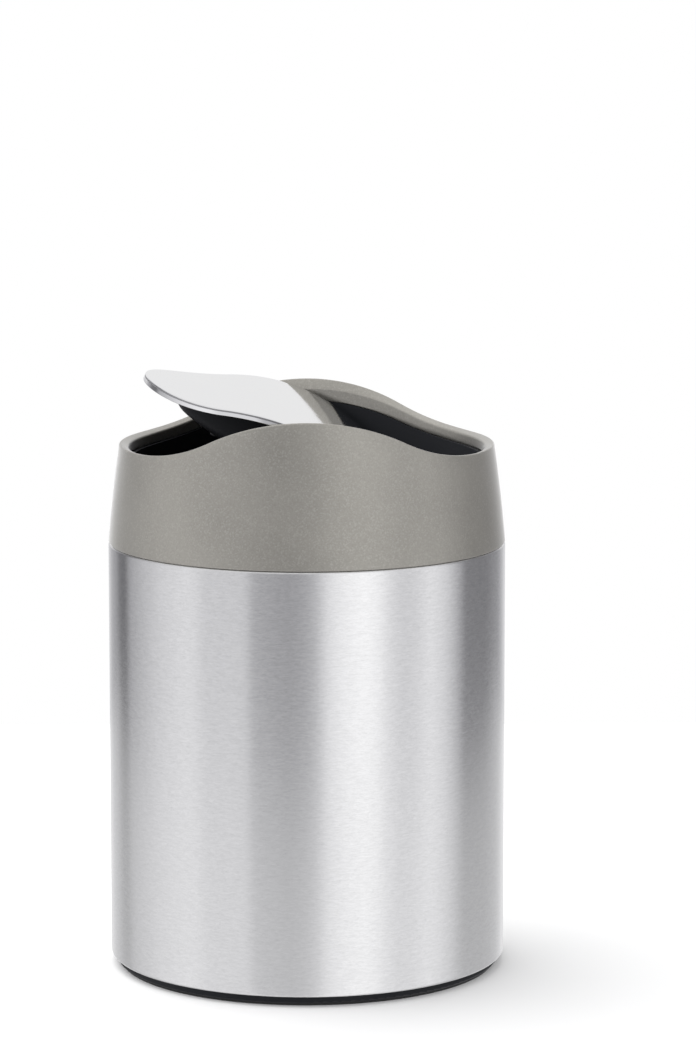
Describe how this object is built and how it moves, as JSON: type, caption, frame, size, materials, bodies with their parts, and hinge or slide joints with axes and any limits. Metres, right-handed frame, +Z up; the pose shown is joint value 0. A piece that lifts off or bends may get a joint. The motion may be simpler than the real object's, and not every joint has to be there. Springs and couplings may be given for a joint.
{
  "type": "push top countertop bin",
  "caption": "Round countertop bin: a brushed metal tube on a black base, with a lift-off lid whose weighted, wavy-rimmed flap swings open when one side is pushed.",
  "frame": {"origin": "centre of the bin on the surface that it stands on", "axes": "+Z up, Y front to back along the flap's pivot rod with the front at -Y, +X towards the side of the flap that is pushed down"},
  "size_m": [0.12, 0.12, 0.1809],
  "materials": {
    "brushed_steel": "stainless steel, brushed round the tube",
    "polished_steel": "polished stainless steel",
    "collar_plastic": "satin warm grey plastic with a fine metallic fleck",
    "black_plastic": "satin black moulded plastic",
    "base_rubber": "matt black rubber",
    "bush_plastic": "natural white acetal",
    "bright_steel": "bright drawn steel"
  },
  "bodies": {
    "bin_body": {"body_shell": "brushed_steel", "rim_ring": "black_plastic", "base_pan": "black_plastic", "non_slip_ring": "base_rubber"},
    "lid": {"collar": "collar_plastic", "throat_ring": "black_plastic", "throat_screws": "bright_steel", "grip_ring": "base_rubber", "front_bush": "bush_plastic", "rear_bush": "bush_plastic"},
    "flap": {"flap_skin": "polished_steel", "flap_tray": "black_plastic", "flap_cover": "black_plastic", "counterweight": "bright_steel", "cover_screws": "bright_steel", "pivot_rod": "bright_steel"}
  },
  "joints": [
    {"name": "lid_lift", "type": "slide", "parent": "bin_body", "child": "lid", "axis": [0, 0, 1], "range_m": [0, 0.08]},
    {"name": "flap_swing", "type": "hinge", "parent": "lid", "child": "flap", "pos_m": [0, 0, 0.1655], "axis": [0, 1, 0], "range_deg": [-70.5, 19.5]}
  ]
}
